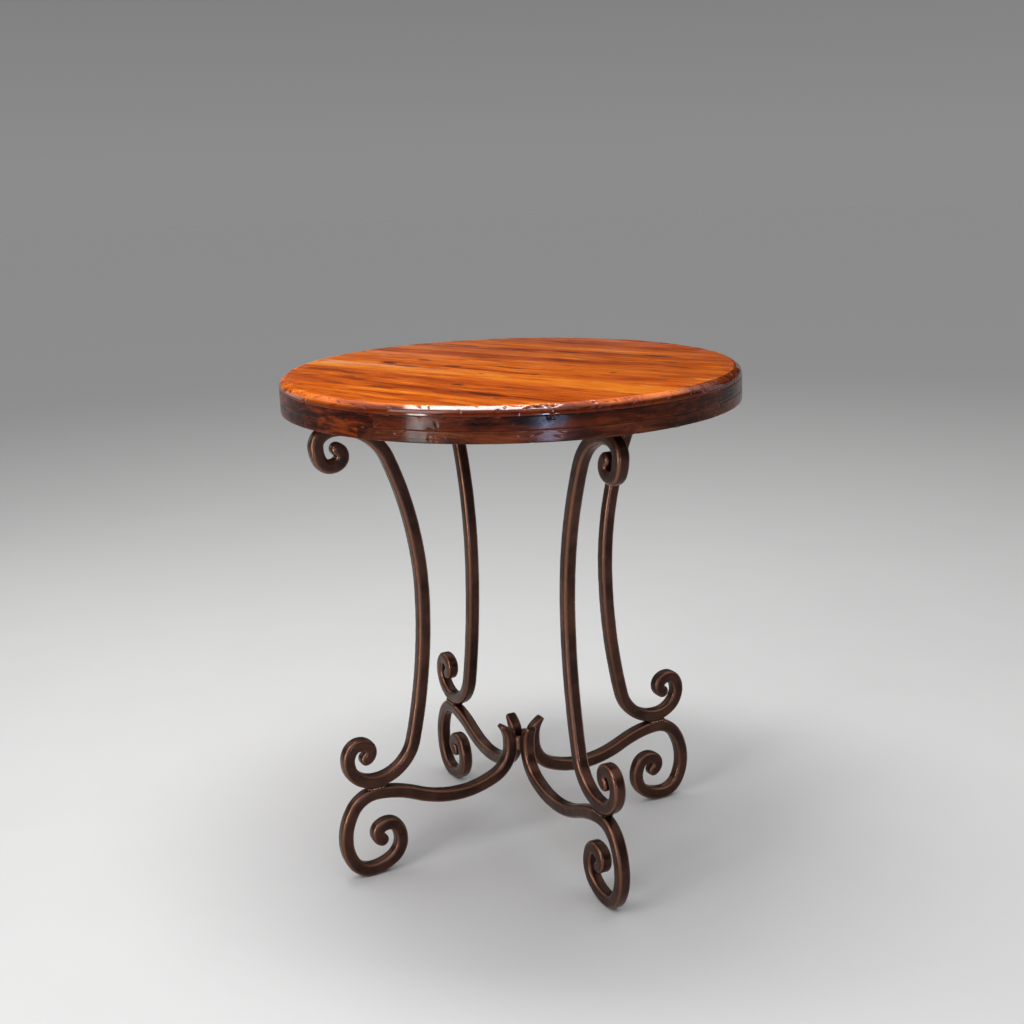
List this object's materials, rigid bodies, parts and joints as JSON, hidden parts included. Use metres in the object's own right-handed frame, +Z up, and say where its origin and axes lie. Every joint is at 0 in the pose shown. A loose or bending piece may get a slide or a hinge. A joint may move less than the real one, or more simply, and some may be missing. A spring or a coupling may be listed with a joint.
{
  "type": "pub table",
  "caption": "Round tall pub table: a planked wooden top with a built-up rounded rim on scrolled wrought-iron legs that meet at a flared hub.",
  "frame": {"origin": "on the floor under the hub, at the middle of the top", "axes": "+Z up, +X along the planks"},
  "size_m": [0.914, 0.914, 1.016],
  "materials": {
    "plank_wood": "gloss lacquer",
    "rim_wood": "gloss lacquer",
    "bronzed_iron": "satin bronze paint",
    "weld_iron": "satin bronze paint",
    "screw_steel": "dull zinc"
  },
  "bodies": {
    "root": {"plank_1": "plank_wood", "plank_2": "plank_wood", "plank_3": "plank_wood", "plank_4": "plank_wood", "plank_5": "plank_wood", "plank_6": "plank_wood", "plank_7": "plank_wood", "upper_rim_1": "rim_wood", "upper_rim_2": "rim_wood", "upper_rim_3": "rim_wood", "upper_rim_4": "rim_wood", "lower_rim_1": "rim_wood", "lower_rim_2": "rim_wood", "lower_rim_3": "rim_wood", "lower_rim_4": "rim_wood", "leg_1": "bronzed_iron", "leg_2": "bronzed_iron", "leg_3": "bronzed_iron", "leg_4": "bronzed_iron", "foot_bar_1": "bronzed_iron", "foot_bar_2": "bronzed_iron", "foot_bar_3": "bronzed_iron", "foot_bar_4": "bronzed_iron", "leg_plate_1": "bronzed_iron", "leg_plate_2": "bronzed_iron", "leg_plate_3": "bronzed_iron", "leg_plate_4": "bronzed_iron", "leg_welds": "weld_iron", "plate_welds": "weld_iron", "hub_welds": "weld_iron", "plate_screws": "screw_steel", "rim_screws": "screw_steel"}
  },
  "joints": []
}
